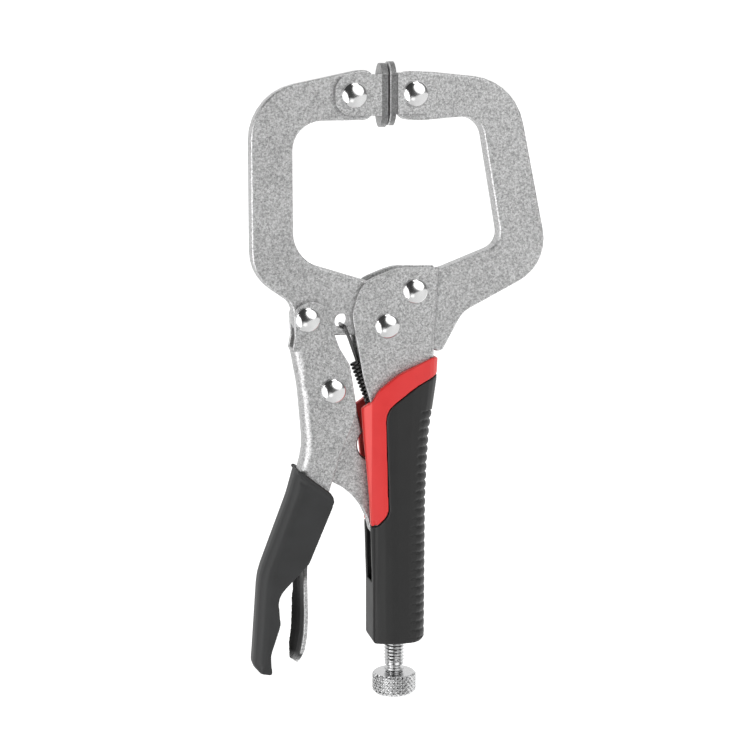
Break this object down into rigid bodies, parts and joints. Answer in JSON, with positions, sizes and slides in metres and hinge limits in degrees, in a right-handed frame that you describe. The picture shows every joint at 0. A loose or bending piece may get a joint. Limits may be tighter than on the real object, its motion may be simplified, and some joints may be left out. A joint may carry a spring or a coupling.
{
  "type": "locking c clamp",
  "caption": "Toggle-locking C clamp: two deep C jaws with swivel pads, a squeeze lever with a release lever, a rubber grip and an adjusting screw in its end.",
  "frame": {"origin": "the clamping point, midway between the two closed pad faces, at the middle of the jaws' thickness", "axes": "+Z from the handles towards the jaws, along the grip; +X towards the fixed jaw; Y through the thickness, with the front at -Y"},
  "size_m": [0.1346, 0.0228, 0.2881],
  "materials": {
    "nickel_plated_steel": "satin nickel plate over a fine blasted grain",
    "polished_rivet_steel": "mirror-bright domed heads",
    "bright_zinc": "bright zinc plate, threaded and knurled",
    "black_oxide_wire": "black oxide spring wire",
    "black_rubber": "soft matte rubber with moulded ribs",
    "red_rubber": "soft satin rubber",
    "dipped_vinyl": "matte dipped vinyl"
  },
  "bodies": {
    "root": {"body_channel": "nickel_plated_steel", "fixed_jaw": "nickel_plated_steel", "fixed_jaw_rivet": "polished_rivet_steel", "jaw_pivot_rivet": "polished_rivet_steel", "fixed_pad_rivet": "polished_rivet_steel", "main_grip": "black_rubber", "grip_accent": "red_rubber", "end_nut": "nickel_plated_steel", "spring_anchor_pin": "nickel_plated_steel", "return_spring": "black_oxide_wire"},
    "jaw": {"moving_jaw": "nickel_plated_steel", "lever_pivot_rivet": "polished_rivet_steel", "moving_pad_rivet": "polished_rivet_steel"},
    "lever": {"lever_channel": "nickel_plated_steel", "lever_sleeve": "dipped_vinyl", "link_rivet": "polished_rivet_steel", "release_pin": "nickel_plated_steel"},
    "link": {"toggle_link": "nickel_plated_steel"},
    "release": {"release_lever": "nickel_plated_steel"},
    "left_pad": {"moving_pad": "nickel_plated_steel"},
    "right_pad": {"fixed_pad": "nickel_plated_steel"},
    "screw": {"adjusting_screw": "bright_zinc"},
    "knob": {"adjusting_knob": "bright_zinc"}
  },
  "joints": [
    {"name": "jaw_swing", "type": "hinge", "parent": "root", "child": "jaw", "pos_m": [-0.0006, 0, -0.1015], "axis": [0, -1, 0], "range_deg": [0, 25], "deforming": ["return_spring"]},
    {"name": "lever_swing", "type": "hinge", "parent": "jaw", "child": "lever", "pos_m": [-0.0366, 0, -0.0978], "axis": [0, 1, 0], "range_deg": [0, 70.5]},
    {"name": "link_swing", "type": "hinge", "parent": "lever", "child": "link", "pos_m": [-0.0251, 0, -0.1299], "axis": [0, -1, 0], "range_deg": [0, 67]},
    {"name": "release_swing", "type": "hinge", "parent": "lever", "child": "release", "pos_m": [-0.039, 0, -0.193], "axis": [0, 1, 0], "range_deg": [0, 5], "stiffness_Nm_per_rad": 0.05, "springref_deg": -17.19},
    {"name": "left_pad_swivel", "type": "hinge", "parent": "jaw", "child": "left_pad", "pos_m": [-0.0154, 0, 0], "axis": [0, 1, 0], "range_deg": [-10, 10]},
    {"name": "right_pad_swivel", "type": "hinge", "parent": "root", "child": "right_pad", "pos_m": [0.012, 0, 0.0007], "axis": [0, 1, 0], "range_deg": [-10, 10]},
    {"name": "screw_slide", "type": "slide", "parent": "root", "child": "screw", "axis": [0, 0, -1], "range_m": [0, 0.018]},
    {"name": "knob_turn", "type": "hinge", "parent": "screw", "child": "knob", "pos_m": [0.0043, 0, -0.2638], "axis": [0, 0, -1], "range_deg": [0, 4082]}
  ],
  "couplings": [
    {"joint": "lever_swing", "follows": "jaw_swing", "ratio": 2.8},
    {"joint": "link_swing", "follows": "jaw_swing", "ratio": 2.65},
    {"joint": "left_pad_swivel", "follows": "right_pad_swivel", "ratio": 1},
    {"joint": "knob_turn", "follows": "screw_slide", "rad_per_m": 3957.9}
  ]
}
